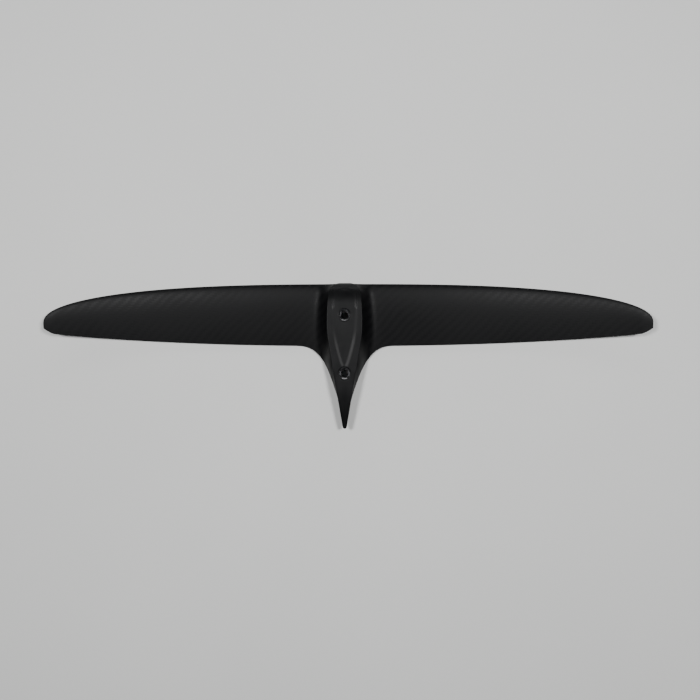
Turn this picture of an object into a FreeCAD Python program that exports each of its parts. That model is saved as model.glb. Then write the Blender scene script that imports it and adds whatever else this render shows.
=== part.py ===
import FreeCAD, Part
import Sketcher
import math
import os

from FreeCAD import Vector

# Front wing of a hydrofoil, lying on its back.
#
# Frame: millimetres. +Z is the face that carries the two countersunk screws (the underside
# in use), +Y points forward through the leading edge and +X runs along the span. The origin
# is midway between the two screws, on the seat that the fuselage is pulled against.
# "back" below always means millimetres behind the leading edge at the root.

SIZES = [
    # alias, value, meaning
    ("semi_span", 440.0, "centreline to wing tip"),
    ("root_chord", 90.4, "leading edge to trailing edge at the root"),
    ("tip_sweep", 57.0, "how far back the leading edge ends at the tip"),
    ("sweep_power", 2.8, "how late along the span the leading edge sweeps back"),
    ("sweep_fullness", 0.46, "how square the leading edge turns into the tip"),
    ("tip_taper", 18.4, "how far forward the trailing edge comes at the tip"),
    ("taper_power", 2.33, "how late along the span the trailing edge comes forward"),
    ("tip_corner_run", 16.0, "span over which the rear tip corner is rounded off"),
    ("tip_corner_drop", 7.0, "chord taken off by the rear tip corner"),
    ("tip_corner_power", 1.5, "roundness of the rear tip corner"),
    ("thickness_ratio", 0.12, "section thickness over chord"),
    ("edge_thickness", 0.8, "thickness of the trailing edge"),
    ("nose_height", 8.4, "leading edge above the crown of the fuselage side"),
    ("tail_height", 2.5, "trailing edge above the crown of the fuselage side"),
    ("camber_height", 1.0, "bow of the mean line towards the fuselage side"),
    ("tip_rise", 23.0, "how far the tips curve away from the fuselage side"),
    ("rise_power", 5.0, "how late along the span the tips rise"),
    ("crown_depth", 16.5, "seat face above the crown of the fuselage side"),
    ("skin_wall", 1.1, "carbon skin thickness"),
    ("bond_line", 0.12, "glue gap between neighbouring pieces"),
    ("tongue_height", 12.5, "seat face to the flat face with the screws"),
    ("tongue_lead", 1.5, "how far the tongue's nose stands ahead of the leading edge"),
    ("tongue_half_width", 25.5, "half width of the tongue at its widest"),
    ("widest_back", 58.0, "where the tongue is widest"),
    ("tongue_end_back", 210.5, "where the tongue's pointed tail ends"),
    ("nose_corner_radius", 18.0, "corner of the tongue's nose, seen from above"),
    ("front_side_radius", 435.0, "side of the tongue ahead of its widest place"),
    ("rear_side_radius", 160.0, "side of the tongue behind its widest place"),
    ("tail_radius", 3.0, "rounding of the pointed tail"),
    ("nose_run", 32.0, "where the nose has risen to the flat face"),
    ("tail_run", 71.0, "length over which the tail thins"),
    ("tail_thickness", 4.5, "thickness at the end of the tail"),
    ("tail_sink_power", 1.6, "how late along the tail it thins"),
    ("fillet_reach", 78.0, "where the rear fillet leaves the trailing edge"),
    ("fillet_root", 12.0, "half width where the rear fillet meets the tail"),
    ("fillet_depth", 70.4, "how far the rear fillet runs down the tail"),
    ("fillet_power", 3.15, "roundness of the rear fillet"),
    ("shoulder_run", 24.0, "width of the shoulder from tongue to wing"),
    ("shoulder_hollow", 3.0, "hollowness of the shoulder over the wing"),
    ("flank_hollow", 1.2, "hollowness of the flank beside the tail"),
    ("flank_run", 30.0, "length over which the shoulder turns into the flank"),
    ("skirt_start_back", 108.0, "where the lower edge of the fillet starts to rise"),
    ("skirt_run", 32.0, "length over which it rises to the seat"),
    ("slot_half_width", 16.0, "half width of the slot for the fuselage"),
    ("slot_front_back", 14.0, "front end of the slot"),
    ("slot_corner_radius", 10.0, "corners of the slot's front end"),
    ("screw_spacing", 84.0, "between the two screws"),
    ("front_screw_back", 46.0, "front screw behind the leading edge"),
    ("countersink_radius", 8.0, "mouth of the countersink"),
    ("screw_hole_radius", 4.2, "clearance hole of the screw"),
    ("bush_wall", 0.5, "wall of the bush round its countersink"),
    ("bush_sleeve_radius", 6.4, "outside of the bush's sleeve"),
    ("bush_recess", 0.8, "bush below the flat face"),
    ("root_zone_end", 100.0, "where the skins have become a plain wing"),
    ("root_block_end", 62.0, "outer end of the root block"),
    ("block_front", 0.04, "front of the root block, as a share of chord and fillet"),
    ("block_rear", 0.87, "rear of the root block, as a share of chord and fillet"),
    ("core_end", 398.0, "outer end of spar, foam and edge pieces"),
    ("filler_end", 433.0, "outer end of the tip filler"),
    ("bead_back", 0.075, "rear of the leading edge bead, as a share of chord"),
    ("spar_front", 0.25, "front of the spar, as a share of chord"),
    ("spar_back", 0.43, "rear of the spar, as a share of chord"),
    ("strip_front", 0.80, "front of the trailing edge strip, as a share of chord"),
]

doc = FreeCAD.newDocument("hydrofoil_front_wing")
sheet = doc.addObject("Spreadsheet::Sheet", "Sizes")
for row, (alias, value, meaning) in enumerate(SIZES, start=1):
    sheet.set("A%d" % row, meaning)
    sheet.set("B%d" % row, str(value))
    sheet.setAlias("B%d" % row, alias)
doc.recompute()


def size(alias):
    return float(sheet.get(alias))


SPAN_POINTS = 16         # rows of a skin outside the root zone
CHORD_POINTS = 25
ROOT_POINTS = 14         # rows of a skin from the tongue's side to the end of the root zone
ROOT_SPREAD = 1.35       # how much closer together they are beside the tongue
CORE_ROWS = 11
TIP_ROWS = 8
CORE_POINTS = 9
NOSE_STEPS = 10
TAIL_STEPS = 8
UNDER_POINTS = 17
SETTLE_STEPS = 60        # halvings that settle a place on the tongue's side
THICKEST_SHARE = 0.3     # where the section is thickest
WALL_SHARE = 0.35        # skin wall at most this much of the half thickness
MOST_STRETCH = 3.0       # a steep face counts at most this much for its wall
CORE_MARGIN = 0.35       # thinnest half height of a core's front and rear edge
MARGIN_SHARE = 0.12      # the same, at most this much of the half thickness
CHEEK_REACH = 0.9        # share of the chord along which the tongue reaches the lower face
SEAT_CLEAR = 0.3         # the skin over the slot stays this much above the seat
SEAT_MARGIN = 2.0        # and does so this far past the side of the slot
PAST_END = 1.0           # the tongue's block starts this much longer than its outline
SIDE_SPARE = 8.0         # and this much wider
OVERRUN = 20.0           # cutting tools reach this far past the tail

semi_span = size("semi_span")
bond = size("bond_line")
front_y = size("front_screw_back") + size("screw_spacing") / 2


def clamp(value, low, high):
    return max(low, min(high, value))


def smooth(t):
    t = clamp(t, 0.0, 1.0)
    return t * t * (3 - 2 * t)


# ---- planform ---------------------------------------------------------------

def leading_back(x):
    """Superelliptic leading edge."""
    t = clamp(x / semi_span, 0.0, 1.0)
    return size("tip_sweep") * (1 - (1 - t ** size("sweep_power")) ** size("sweep_fullness"))


def trailing_back(x):
    """Trailing edge of the plain wing, with its rounded rear tip corner."""
    t = clamp(x / semi_span, 0.0, 1.0)
    run = size("tip_corner_run")
    corner = max(0.0, (x - (semi_span - run)) / run)
    taper = size("tip_taper") * t ** size("taper_power")
    rounding = size("tip_corner_drop") * corner ** size("tip_corner_power")
    return size("root_chord") - taper - rounding


def fillet_back(x):
    """How far the rear fillet stands behind the plain trailing edge."""
    reach = size("fillet_reach")
    t = max(0.0, (reach - x) / (reach - size("fillet_root")))
    return size("fillet_depth") * t ** size("fillet_power")


def rear_back(x):
    return trailing_back(x) + fillet_back(x)


def fillet_x(back):
    """Half width of the rear fillet at a place behind the trailing edge."""
    depth = max(0.0, back - size("root_chord")) / size("fillet_depth")
    reach = size("fillet_reach")
    return reach - (reach - size("fillet_root")) * depth ** (1 / size("fillet_power"))


# ---- outline of the tongue --------------------------------------------------

class Outline:
    """Teardrop plan of the tongue: tangent arcs, one straight taper and a round tail."""

    def __init__(self):
        self.half = size("tongue_half_width")
        self.widest = size("widest_back")
        self.nose = -size("tongue_lead")
        self.corner = size("nose_corner_radius")
        self.front_r = size("front_side_radius")
        self.rear_r = size("rear_side_radius")
        self.tail_r = size("tail_radius")
        self.tail_c = size("tongue_end_back") - self.tail_r
        self.corner_back = self.nose + self.corner
        inner = self.front_r - self.corner
        drop = self.widest - self.corner_back
        self.corner_x = math.sqrt(inner ** 2 - drop ** 2) - (self.front_r - self.half)
        share = self.front_r / inner
        self.join_x = (self.half - self.front_r) + (self.corner_x + self.front_r - self.half) * share
        self.join_back = self.widest - drop * share
        across = self.rear_r - self.half
        along = self.tail_c - self.widest
        far = math.hypot(across, along)
        self.taper = math.atan2(along, across) - math.acos((self.rear_r - self.tail_r) / far)
        self.taper_back = self.widest + self.rear_r * math.sin(self.taper)
        self.taper_x = self.half - self.rear_r * (1 - math.cos(self.taper))
        self.tail_back = self.tail_c + self.tail_r * math.sin(self.taper)
        self.tail_x = self.tail_r * math.cos(self.taper)
        self.end_back = self.tail_c + self.tail_r

    def half_width(self, back):
        if back <= self.nose or back >= self.end_back:
            return 0.0
        if back < self.join_back:
            return self.corner_x + math.sqrt(self.corner ** 2 - (back - self.corner_back) ** 2)
        if back < self.widest:
            return self.half - self.front_r + math.sqrt(self.front_r ** 2 - (back - self.widest) ** 2)
        if back < self.taper_back:
            return self.half - self.rear_r + math.sqrt(self.rear_r ** 2 - (back - self.widest) ** 2)
        if back < self.tail_back:
            return self.taper_x - (back - self.taper_back) * math.tan(self.taper)
        return math.sqrt(self.tail_r ** 2 - (back - self.tail_c) ** 2)

    def edges(self):
        """The closed plan, as edges in the XY plane."""
        def point(x, back):
            return Vector(x, front_y - back, 0)

        slant = math.sqrt(0.5) * self.corner
        front_middle = (self.join_back + self.widest) / 2
        rear_middle = (self.widest + self.taper_back) / 2
        edges = [Part.LineSegment(point(-self.corner_x, self.nose), point(self.corner_x, self.nose)),
                 Part.Arc(point(self.tail_x, self.tail_back), point(0, self.end_back),
                          point(-self.tail_x, self.tail_back))]
        for hand in (1, -1):
            nose = point(hand * self.corner_x, self.nose)
            join = point(hand * self.join_x, self.join_back)
            widest = point(hand * self.half, self.widest)
            taper = point(hand * self.taper_x, self.taper_back)
            tail = point(hand * self.tail_x, self.tail_back)
            corner = point(hand * (self.corner_x + slant), self.corner_back - slant)
            edges.append(Part.Arc(nose, corner, join))
            edges.append(Part.Arc(join, point(hand * self.half_width(front_middle), front_middle),
                                  widest))
            edges.append(Part.Arc(widest, point(hand * self.half_width(rear_middle), rear_middle),
                                  taper))
            edges.append(Part.LineSegment(taper, tail))
        return edges


tongue_plan = Outline()


# ---- heights ----------------------------------------------------------------

def chord_scale(x):
    return (trailing_back(x) - leading_back(x)) / size("root_chord")


def half_thickness(share):
    """Four-digit section at the root chord, closed to the edge thickness."""
    s = clamp(share, 0.0, 1.0)
    shape = 0.2969 * math.sqrt(s) - 0.1260 * s - 0.3516 * s ** 2 + 0.2843 * s ** 3 - 0.1036 * s ** 4
    return 5 * size("thickness_ratio") * size("root_chord") * shape + size("edge_thickness") * s / 2


def crown_z(x):
    """Level of the lowest line of the fuselage side."""
    rise = size("tip_rise") * (x / semi_span) ** size("rise_power")
    return rise - size("crown_depth")


def skirt_rise(back):
    start = size("skirt_start_back")
    full = size("crown_depth") - size("tail_height") + size("edge_thickness") / 2
    return full * smooth((back - start) / size("skirt_run"))


def mean_z(x, share):
    """Mean line of the section at x."""
    tail = size("tail_height") + skirt_rise(rear_back(x))
    line = tail + (size("nose_height") - tail) * (1 - share)
    line -= 4 * size("camber_height") * share * (1 - share)
    return crown_z(x) + chord_scale(x) * line


def thick_z(x, share):
    return chord_scale(x) * half_thickness(share)


def belly_z(back):
    """Flat face of the tongue: it rises round the nose and sinks towards the tail."""
    top = size("tongue_height")
    run = size("nose_run")
    start = size("nose_height") - size("crown_depth")
    if back < run:
        t = clamp((run - back) / (run + size("tongue_lead")), 0.0, 1.0)
        return start + (top - start) * math.sqrt(1 - t * t)
    tail_start = size("tongue_end_back") - size("tail_run")
    t = clamp((back - tail_start) / size("tail_run"), 0.0, 1.0)
    return top - (top - size("tail_thickness")) * t ** size("tail_sink_power")


def shoulder(x, back):
    """Share of the way up from wing to tongue, and its slope against x."""
    run = size("shoulder_run")
    behind = back - size("root_chord")
    if behind > 0:
        room = max(0.5, fillet_x(back) - tongue_plan.half_width(back))
        run = (run ** -4 + room ** -4) ** -0.25
    power = size("shoulder_hollow")
    power -= (power - size("flank_hollow")) * smooth(behind / size("flank_run"))
    t = clamp((x - tongue_plan.half_width(back)) / run, 0.0, 1.0)
    return (1 - t) ** power, power * (1 - t) ** (power - 1) / run


def back_at(x, share):
    return leading_back(x) + share * (rear_back(x) - leading_back(x))


def screw_side_z(x, share, wall=0.0):
    """Outer face of the screw side, or the face one wall below it. The wall is measured
    square to the face, so it counts for more where the shoulder is steep."""
    back = back_at(x, share)
    wing = mean_z(x, share) + thick_z(x, share)
    climb, slope = shoulder(x, back)
    drop = max(0.0, belly_z(back) - wing)
    steep = min(MOST_STRETCH, math.sqrt(1 + (drop * slope) ** 2))
    return wing + drop * climb - wall * steep


def fuselage_side_z(x, share, wall=0.0):
    return mean_z(x, share) - thick_z(x, share) + wall


def wall_at(x):
    """Skins thin out where the section gets too thin to hold them."""
    return min(size("skin_wall"), WALL_SHARE * thick_z(x, THICKEST_SHARE))


# ---- grids and solids -------------------------------------------------------

def spread(count):
    """Shares from 0 to 1, closer together at both ends."""
    return [(1 - math.cos(math.pi * i / (count - 1))) / 2 for i in range(count)]


def point_at(x, share, height):
    return Vector(x, front_y - back_at(x, share), height)


def tongue_x(share, gap):
    """Where the line of equal chord share meets the tongue's side."""
    x = size("tongue_half_width")
    for _ in range(SETTLE_STEPS):
        x += 0.5 * (tongue_plan.half_width(back_at(x, share)) + gap - x)
    return x


def closing_share(x, depth, rear):
    """Chord share where the section is just as thick as twice the depth."""
    low, high = (1.0 if rear else 0.0), THICKEST_SHARE
    if thick_z(x, low) >= depth:
        return low
    for _ in range(SETTLE_STEPS):
        middle = (low + high) / 2
        if thick_z(x, middle) < depth:
            low = middle
        else:
            high = middle
    return high


def face_of(grid):
    surface = Part.BSplineSurface()
    surface.interpolate(grid)
    return surface


def closed_solid(upper, lower):
    """Solid between two point grids of the same layout, closed by ruled faces."""
    high, low = face_of(upper), face_of(lower)
    u0, u1, v0, v1 = high.bounds()
    p0, p1, q0, q1 = low.bounds()
    pairs = [(high.uIso(u0), low.uIso(p0)), (high.uIso(u1), low.uIso(p1)),
             (high.vIso(v0), low.vIso(q0)), (high.vIso(v1), low.vIso(q1))]
    faces = [high.toShape(), low.toShape()]
    for one, other in pairs:
        faces.append(Part.makeRuledSurface(one.toShape(), other.toShape()))
    shell = Part.Shell(faces)
    shell.sewShape()
    solid = Part.Solid(shell)
    if solid.Volume < 0:
        solid.reverse()
    return solid


def wing_stations():
    """Span stations from the root zone to the tip, closer together at the tip."""
    first = math.asin(size("root_zone_end") / semi_span)
    steps = [first + (math.pi / 2 - first) * i / (SPAN_POINTS - 1) for i in range(SPAN_POINTS)]
    return [semi_span * math.sin(step) for step in steps]


def skin_grid(height, wall, gap):
    """Points of one face of a skin, from the tongue's side to the tip. The inner face ends
    where the cavity closes. Its rear end runs out to the trailing edge beside the tongue."""
    rows = []
    for i in range(ROOT_POINTS):
        rows.append([None, (i / ROOT_POINTS) ** ROOT_SPREAD])
    for x in wing_stations():
        rows.append([x, None])
    grid = []
    for station, step in rows:
        line = []
        for t in spread(CHORD_POINTS):
            edge_x = station if station else size("root_zone_end")
            depth = wall_at(edge_x) if wall else 0.0
            front = closing_share(edge_x, depth, False) if wall else 0.0
            rear = closing_share(edge_x, depth, True) if wall else 1.0
            if step is not None:
                rear = 1 - (1 - rear) * step
            share = front + (rear - front) * t
            if station:
                x = station
            else:
                start = tongue_x(share, gap)
                x = start + (size("root_zone_end") - start) * step
            line.append(point_at(x, share, height(x, share, depth)))
        grid.append(line)
    return grid


def slot_tool(grow):
    """The space of the fuselage slot, from below the wing up to the seat."""
    half = size("slot_half_width") + grow
    radius = size("slot_corner_radius") + grow
    y_front = front_y - size("slot_front_back") + grow
    y_rear = front_y - size("tongue_end_back") - OVERRUN
    depth = 2 * size("crown_depth")
    box = Part.makeBox(2 * half, y_front - y_rear, depth + grow, Vector(-half, y_rear, -depth))
    corners = []
    for edge in box.Edges:
        upright = abs(edge.BoundBox.ZLength - depth - grow) < 1e-6
        if upright and edge.BoundBox.YMax > y_front - 1e-6:
            corners.append(edge)
    return box.makeFillet(radius, corners)


def add_solid(name, shape):
    """A starboard piece and its mirrored twin on the port side."""
    starboard = doc.addObject("Part::Feature", "starboard_" + name)
    starboard.Shape = shape
    starboard.Label = "starboard_" + name
    port = doc.addObject("Part::Mirroring", "port_" + name)
    port.Source = starboard
    port.Normal = Vector(1, 0, 0)
    port.Label = "port_" + name
    return [starboard, port]


def make_skins():
    """Moulded carbon skins, glued along the mean line at the leading and trailing edges."""
    half_bond = bond / 2

    def upper(x, share, wall):
        if not wall:
            return screw_side_z(x, share) + half_bond
        inner = max(screw_side_z(x, share, wall), mean_z(x, share) + half_bond)
        over_slot = x < size("slot_half_width") + SEAT_MARGIN
        return max(inner, SEAT_CLEAR) if over_slot else inner

    def lower(x, share, wall):
        if wall:
            return min(fuselage_side_z(x, share, wall), mean_z(x, share) - half_bond)
        return fuselage_side_z(x, share) - half_bond

    pieces = []
    for name, height in (("screw_side_skin", upper), ("fuselage_side_skin", lower)):
        outer = skin_grid(height, False, bond)
        inner = skin_grid(height, True, bond)
        pieces += add_solid(name, largest(closed_solid(outer, inner).cut(slot_tool(0.0))))
    return pieces


def largest(shape):
    return max(shape.Solids, key=lambda solid: solid.Volume)


def core_piece(x_start, x_end, front, rear, count=CORE_ROWS, thin_front=False, thin_rear=False):
    """Piece of the cavity between the skins, between two shares of the chord."""
    upper, lower = [], []
    first, last = math.asin(x_start / semi_span), math.asin(x_end / semi_span)
    for i in range(count):
        x = semi_span * math.sin(first + (last - first) * i / (count - 1))
        wall = wall_at(x) + bond
        margin = min(CORE_MARGIN, MARGIN_SHARE * thick_z(x, THICKEST_SHARE))
        chord = rear_back(x) - leading_back(x)
        start = closing_share(x, wall + margin, False) if thin_front else front + bond / 2 / chord
        end = closing_share(x, wall + margin, True) if thin_rear else rear - bond / 2 / chord
        line_up, line_low = [], []
        for t in spread(CORE_POINTS):
            share = start + (end - start) * t
            line_up.append(point_at(x, share, screw_side_z(x, share, wall)))
            line_low.append(point_at(x, share, fuselage_side_z(x, share, wall)))
        upper.append(line_up)
        lower.append(line_low)
    return closed_solid(upper, lower)


def make_cores():
    """Bead, foam, spar and edge strip that fill the wing between its skins."""
    start, end = size("root_block_end") + bond, size("core_end")
    bead, strip = size("bead_back"), size("strip_front")
    spar_front, spar_back = size("spar_front"), size("spar_back")
    pieces = add_solid("leading_edge_bead", core_piece(start, end, 0, bead, thin_front=True))
    pieces += add_solid("front_foam_core", core_piece(start, end, bead, spar_front))
    pieces += add_solid("main_spar", core_piece(start, end, spar_front, spar_back))
    pieces += add_solid("rear_foam_core", core_piece(start, end, spar_back, strip))
    pieces += add_solid("trailing_edge_strip", core_piece(start, end, strip, 1, thin_rear=True))
    tip = core_piece(end + bond, size("filler_end"), 0, 1, TIP_ROWS, True, True)
    return pieces + add_solid("tip_filler", tip)


def make_root_blocks():
    """Solid filler between the tongue, the skins and the inner end of the spar."""
    upper, lower = [], []
    for i in range(ROOT_POINTS):
        step = (i / (ROOT_POINTS - 1)) ** ROOT_SPREAD
        line_up, line_low = [], []
        for t in spread(CHORD_POINTS):
            share = size("block_front") + (size("block_rear") - size("block_front")) * t
            first = tongue_x(share, 2 * bond)
            x = first + (size("root_block_end") - first) * step
            wall = size("skin_wall") + bond
            line_up.append(point_at(x, share, screw_side_z(x, share, wall)))
            line_low.append(point_at(x, share, fuselage_side_z(x, share, wall)))
        upper.append(line_up)
        lower.append(line_low)
    solid = closed_solid(upper, lower).cut(slot_tool(bond))
    return add_solid("root_block", largest(solid))


# ---- tongue and bushes ------------------------------------------------------

def plane_of(body, role):
    for feature in body.Origin.OriginFeatures:
        if feature.Role == role:
            return feature
    raise RuntimeError("no plane " + role)


def new_sketch(body, name, role):
    sketch = body.newObject("Sketcher::SketchObject", name)
    sketch.AttachmentSupport = [(plane_of(body, role), "")]
    sketch.MapMode = "FlatFace"
    return sketch


def cut_both_ways(body, sketch, name):
    """Pocket through the whole body on both sides of its sketch."""
    pocket = body.newObject("PartDesign::Pocket", name)
    pocket.Profile = sketch
    pocket.Type = "ThroughAll"
    pocket.Midplane = True
    return pocket


def spline(points):
    curve = Part.BSplineCurve()
    curve.interpolate(points)
    return curve


def side_profile():
    """Outline of the tongue seen from the side, in the plane of Y and Z."""
    lead = size("tongue_lead")
    nose_z = belly_z(-lead)
    tail_start = size("tongue_end_back") - size("tail_run")
    top = size("tongue_height")
    end = tongue_plan.end_back + PAST_END

    def point(back, height):
        return Vector(front_y - back, height, 0)

    run = size("nose_run") + lead
    turns = [math.pi / 2 * i / NOSE_STEPS for i in range(NOSE_STEPS + 1)]
    nose = [point(-lead + run * (1 - math.cos(turn)), nose_z + (top - nose_z) * math.sin(turn))
            for turn in turns]
    backs = [tail_start + (end - tail_start) * i / TAIL_STEPS for i in range(TAIL_STEPS + 1)]
    tail = [point(back, belly_z(back)) for back in backs]
    side = (size("slot_half_width") + size("tongue_half_width")) / 2
    under = []
    for t in spread(UNDER_POINTS):
        share = CHEEK_REACH * t
        back = back_at(side, share)
        under.append(point(back - lead * (1 - share), fuselage_side_z(side, share)))
    under[0] = nose[0]
    last = under[-1]
    return [spline(nose), Part.LineSegment(nose[-1], tail[0]), spline(tail),
            Part.LineSegment(tail[-1], point(end, 0)),
            Part.LineSegment(point(end, 0), Vector(last.x, 0, 0)),
            Part.LineSegment(Vector(last.x, 0, 0), last), spline(under)]


def slot_outline():
    """Plan of the slot: straight sides, a front end with round corners, open behind."""
    half, radius = size("slot_half_width"), size("slot_corner_radius")
    y_front = front_y - size("slot_front_back")
    y_rear = front_y - size("tongue_end_back") - OVERRUN
    slant = radius * (1 - math.sqrt(0.5))
    lines = [Part.LineSegment(Vector(-half + radius, y_front, 0), Vector(half - radius, y_front, 0)),
             Part.LineSegment(Vector(-half, y_rear, 0), Vector(half, y_rear, 0))]
    for hand in (-1, 1):
        lines.append(Part.LineSegment(Vector(hand * half, y_front - radius, 0),
                                      Vector(hand * half, y_rear, 0)))
        lines.append(Part.Arc(Vector(hand * (half - radius), y_front, 0),
                              Vector(hand * (half - slant), y_front - slant, 0),
                              Vector(hand * half, y_front - radius, 0)))
    return lines


def make_tongue():
    """Solid laminate block: the flat teardrop with the screws, the nose, the slot's roof and
    cheeks, and the pointed tail that backs the fuselage."""
    body = doc.addObject("PartDesign::Body", "mount_tongue")
    body.Label = "mount_tongue"
    side = new_sketch(body, "side_profile", "YZ_Plane")
    side.addGeometry(side_profile(), False)
    pad = body.newObject("PartDesign::Pad", "tongue_block")
    pad.Profile = side
    pad.Midplane = True
    pad.setExpression("Length", "Sizes.tongue_half_width * 2 + %g" % SIDE_SPARE)
    doc.recompute()

    plan = new_sketch(body, "teardrop_plan", "XY_Plane")
    frame = 2 * size("tongue_half_width")
    corners = [Vector(-frame, front_y + frame, 0), Vector(frame, front_y + frame, 0),
               Vector(frame, front_y - size("tongue_end_back") - frame, 0),
               Vector(-frame, front_y - size("tongue_end_back") - frame, 0)]
    border = [Part.LineSegment(corners[i], corners[(i + 1) % 4]) for i in range(4)]
    plan.addGeometry(border + tongue_plan.edges(), False)
    cut_both_ways(body, plan, "teardrop_cut")
    doc.recompute()

    slot = new_sketch(body, "slot_plan", "XY_Plane")
    slot.addGeometry(slot_outline(), False)
    pocket = body.newObject("PartDesign::Pocket", "fuselage_slot")
    pocket.Profile = slot
    pocket.Type = "ThroughAll"
    doc.recompute()

    for name, side_sign in (("front", 1), ("rear", -1)):
        place = "Sizes.screw_spacing / 2 * %d" % side_sign
        sleeve = body.newObject("PartDesign::SubtractiveCylinder", name + "_sleeve_seat")
        sleeve.setExpression("Radius", "Sizes.bush_sleeve_radius + Sizes.bond_line")
        sleeve.setExpression("Height", "Sizes.tongue_height + 2")
        sleeve.setExpression("Placement.Base.y", place)
        sleeve.setExpression("Placement.Base.z", "-1")
        head = body.newObject("PartDesign::SubtractiveCone", name + "_head_seat")
        head.setExpression("Radius1", "Sizes.bush_sleeve_radius + Sizes.bond_line")
        head.setExpression("Radius2", "Sizes.countersink_radius + Sizes.bush_wall + Sizes.bond_line")
        head.setExpression("Height",
                           "Sizes.countersink_radius + Sizes.bush_wall - Sizes.bush_sleeve_radius")
        head.setExpression("Placement.Base.y", place)
        head.setExpression("Placement.Base.z", "Sizes.tongue_height - Sizes.bush_recess "
                           "- Sizes.countersink_radius - Sizes.bush_wall + Sizes.bush_sleeve_radius")
        recess = body.newObject("PartDesign::SubtractiveCylinder", name + "_recess")
        recess.setExpression("Radius",
                             "Sizes.countersink_radius + Sizes.bush_wall + Sizes.bond_line")
        recess.setExpression("Height", "Sizes.bush_recess + 1")
        recess.setExpression("Placement.Base.y", place)
        recess.setExpression("Placement.Base.z", "Sizes.tongue_height - Sizes.bush_recess")
        doc.recompute()
    return body


def make_bush(name, side_sign):
    """Turned countersunk bush, glued into the tongue: the screw's head bears on its cone."""
    body = doc.addObject("PartDesign::Body", name)
    body.Label = name
    face = "(Sizes.tongue_height - Sizes.bush_recess)"
    corners = [("Sizes.countersink_radius", face),
               ("Sizes.countersink_radius + Sizes.bush_wall", face),
               ("Sizes.bush_sleeve_radius",
                face + " - Sizes.countersink_radius - Sizes.bush_wall + Sizes.bush_sleeve_radius"),
               ("Sizes.bush_sleeve_radius", None),
               ("Sizes.screw_hole_radius", None),
               ("Sizes.screw_hole_radius",
                face + " - Sizes.countersink_radius + Sizes.screw_hole_radius")]
    top = size("tongue_height") - size("bush_recess")
    rim = size("countersink_radius") + size("bush_wall")
    start = [Vector(size("countersink_radius"), top, 0), Vector(rim, top, 0),
             Vector(size("bush_sleeve_radius"), top - rim + size("bush_sleeve_radius"), 0),
             Vector(size("bush_sleeve_radius"), 0, 0), Vector(size("screw_hole_radius"), 0, 0),
             Vector(size("screw_hole_radius"),
                    top - size("countersink_radius") + size("screw_hole_radius"), 0)]
    sketch = new_sketch(body, name + "_section", "XZ_Plane")
    count = len(corners)
    for i in range(count):
        sketch.addGeometry(Part.LineSegment(start[i], start[(i + 1) % count]), False)
    for i in range(count):
        sketch.addConstraint(Sketcher.Constraint("Coincident", i, 2, (i + 1) % count, 1))
    for i, (radius, height) in enumerate(corners):
        number = sketch.addConstraint(Sketcher.Constraint("DistanceX", -1, 1, i, 1, start[i].x))
        sketch.setExpression("Constraints[%d]" % number, radius)
        if height:
            number = sketch.addConstraint(Sketcher.Constraint("DistanceY", -1, 1, i, 1, start[i].y))
            sketch.setExpression("Constraints[%d]" % number, height)
        else:
            sketch.addConstraint(Sketcher.Constraint("PointOnObject", i, 1, -1))
    turn = body.newObject("PartDesign::Revolution", name + "_turned")
    turn.Profile = sketch
    turn.ReferenceAxis = (sketch, ["V_Axis"])
    turn.Angle = 360
    body.setExpression("Placement.Base.y", "Sizes.screw_spacing / 2 * %d" % side_sign)
    doc.recompute()
    return body


# ---- assembly and files -----------------------------------------------------

pieces = make_skins() + make_root_blocks() + make_cores()
pieces.append(make_tongue())
pieces.append(make_bush("front_screw_bush", 1))
pieces.append(make_bush("rear_screw_bush", -1))
doc.recompute()

for thing in doc.Objects:
    if "Invalid" in thing.State or "Error" in thing.State:
        raise RuntimeError("failed feature: " + thing.Name)
for piece in pieces:
    if piece.Shape.isNull() or not piece.Shape.isValid():
        raise RuntimeError("bad shape: " + piece.Label)

os.makedirs("parts", exist_ok=True)
for piece in pieces:
    piece.Shape.exportStep("parts/%s.step" % piece.Label)
    print("%-34s %9.2f cm3" % (piece.Label, piece.Shape.Volume / 1000))
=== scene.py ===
import math

import bmesh
import bpy
import numpy as np
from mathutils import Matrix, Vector


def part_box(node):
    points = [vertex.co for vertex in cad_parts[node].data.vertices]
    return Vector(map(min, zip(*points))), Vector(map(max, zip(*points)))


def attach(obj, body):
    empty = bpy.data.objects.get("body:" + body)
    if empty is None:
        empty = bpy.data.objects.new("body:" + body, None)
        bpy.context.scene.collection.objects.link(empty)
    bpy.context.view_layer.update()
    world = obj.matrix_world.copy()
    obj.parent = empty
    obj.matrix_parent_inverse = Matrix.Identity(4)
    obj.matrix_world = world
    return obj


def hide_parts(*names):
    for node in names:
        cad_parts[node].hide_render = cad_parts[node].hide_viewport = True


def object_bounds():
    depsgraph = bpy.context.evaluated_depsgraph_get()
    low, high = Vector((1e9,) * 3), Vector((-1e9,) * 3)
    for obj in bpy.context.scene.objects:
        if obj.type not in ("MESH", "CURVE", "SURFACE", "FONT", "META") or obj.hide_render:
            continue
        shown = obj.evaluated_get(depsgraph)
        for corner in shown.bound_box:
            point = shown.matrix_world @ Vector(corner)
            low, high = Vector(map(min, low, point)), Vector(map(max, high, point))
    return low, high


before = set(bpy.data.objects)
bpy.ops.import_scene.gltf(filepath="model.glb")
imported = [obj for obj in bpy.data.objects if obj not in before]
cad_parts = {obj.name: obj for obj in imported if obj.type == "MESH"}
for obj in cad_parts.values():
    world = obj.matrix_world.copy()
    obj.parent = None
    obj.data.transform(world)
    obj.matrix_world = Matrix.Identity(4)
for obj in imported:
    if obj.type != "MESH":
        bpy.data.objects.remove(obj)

cad_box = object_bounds()

# ---------------------------------------------------------------------------
# Screw-side skins, port and starboard. Each is a moulded skin of carbon twill,
# 1.1 mm thick, laid over the wing and up the flank of the mounting tongue, then
# glued to the other skin along the leading and trailing edges.

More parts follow.
